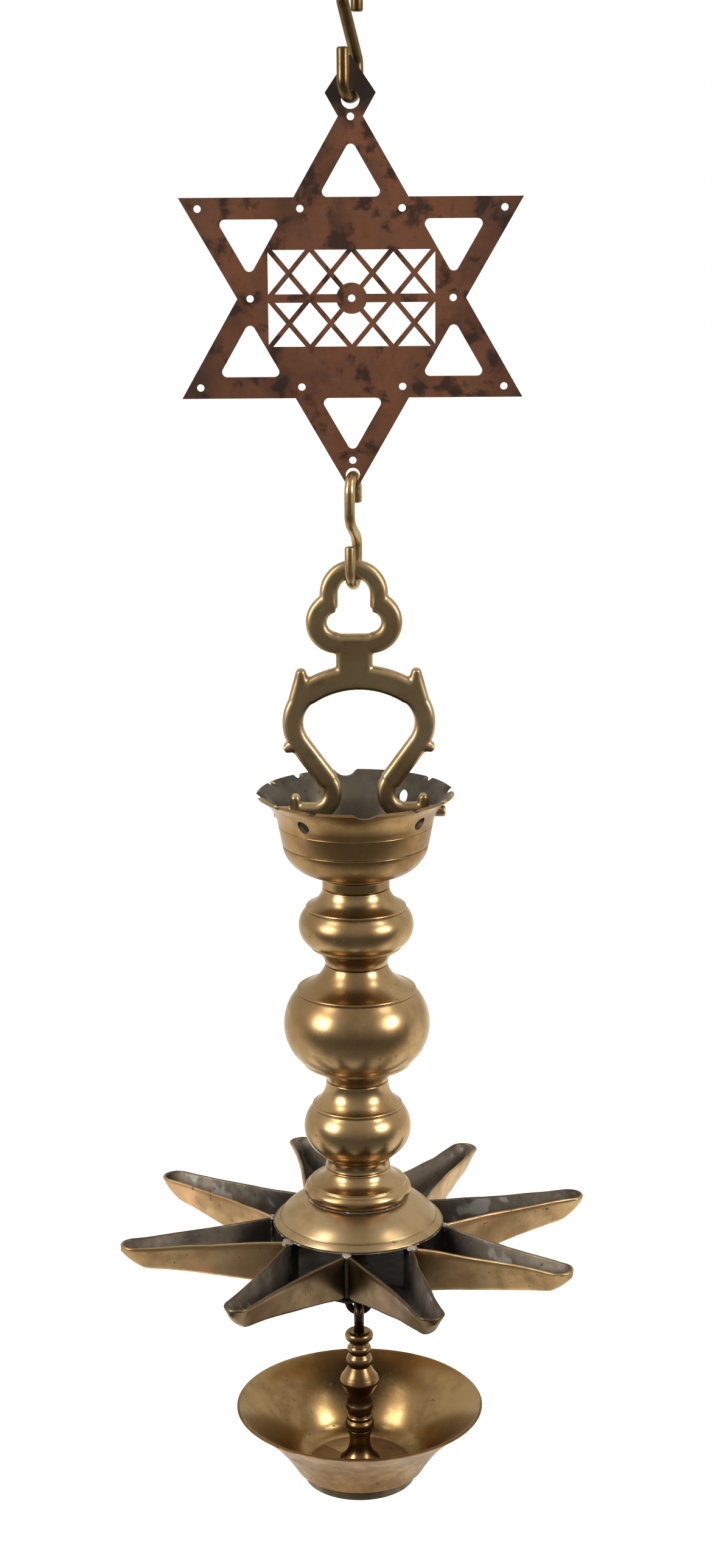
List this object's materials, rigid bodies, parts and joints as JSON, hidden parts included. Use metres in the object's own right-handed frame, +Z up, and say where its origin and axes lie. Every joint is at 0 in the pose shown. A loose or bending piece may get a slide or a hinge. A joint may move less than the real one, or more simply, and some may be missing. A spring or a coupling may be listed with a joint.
{
  "type": "hanging star oil lamp",
  "caption": "Brass hanging oil lamp: S-hooks and a pierced star plate carry a bail, a crown bowl, a baluster shaft, a star of open wick spouts and a drip bowl.",
  "frame": {"origin": "hanging point: inside the top of the top hook's upper loop, on the lamp's axis", "axes": "+Z up, +X to the viewer's right, +Y away from the viewer"},
  "size_m": [0.232, 0.2312, 0.7386],
  "materials": {
    "wire_brass": "drawn wire, worn and toned",
    "plate_copper": "oxidised copper sheet",
    "cast_brass": "turned and polished casting",
    "sheet_brass": "soldered sheet, toned",
    "rod_steel": "plain rod"
  },
  "bodies": {
    "top_hook": {"top_hook": "wire_brass"},
    "star_plate": {"star_plate": "plate_copper"},
    "lower_hook": {"lower_hook": "wire_brass"},
    "bail": {"bail": "cast_brass"},
    "lamp": {"crown_bowl": "cast_brass", "rod_nut": "sheet_brass", "rod_washer": "sheet_brass", "tie_rod": "rod_steel", "upper_knop": "cast_brass", "middle_knop": "cast_brass", "lower_knop": "cast_brass", "base_ring": "cast_brass", "star_cover": "sheet_brass", "star_floor": "sheet_brass", "bottom_eye": "sheet_brass", "spout_1": "sheet_brass", "spout_2": "sheet_brass", "spout_3": "sheet_brass", "spout_4": "sheet_brass", "spout_5": "sheet_brass", "spout_6": "sheet_brass", "spout_7": "sheet_brass", "spout_8": "sheet_brass"},
    "drip": {"drip_hook": "sheet_brass", "drip_stem": "cast_brass", "drip_bowl": "cast_brass", "stem_nut": "sheet_brass"}
  },
  "joints": [
    {"name": "plate_swing", "type": "hinge", "parent": "top_hook", "child": "star_plate", "pos_m": [0, 0, -0.0492], "axis": [0.4067, 0.9135, 0], "range_deg": [-35, 35]},
    {"name": "lower_hook_swing", "type": "hinge", "parent": "star_plate", "child": "lower_hook", "pos_m": [0, 0, -0.2283], "axis": [0.9744, -0.225, 0], "range_deg": [-35, 35]},
    {"name": "bail_swing", "type": "hinge", "parent": "lower_hook", "child": "bail", "pos_m": [0, 0, -0.2772], "axis": [0, 1, 0], "range_deg": [-30, 30]},
    {"name": "lamp_tilt", "type": "hinge", "parent": "bail", "child": "lamp", "pos_m": [0, 0, -0.38262], "axis": [1, 0, 0], "range_deg": [-50, 50]},
    {"name": "drip_swing", "type": "hinge", "parent": "lamp", "child": "drip", "pos_m": [0, 0, -0.64307], "axis": [1, 0, 0], "range_deg": [-30, 30]}
  ]
}
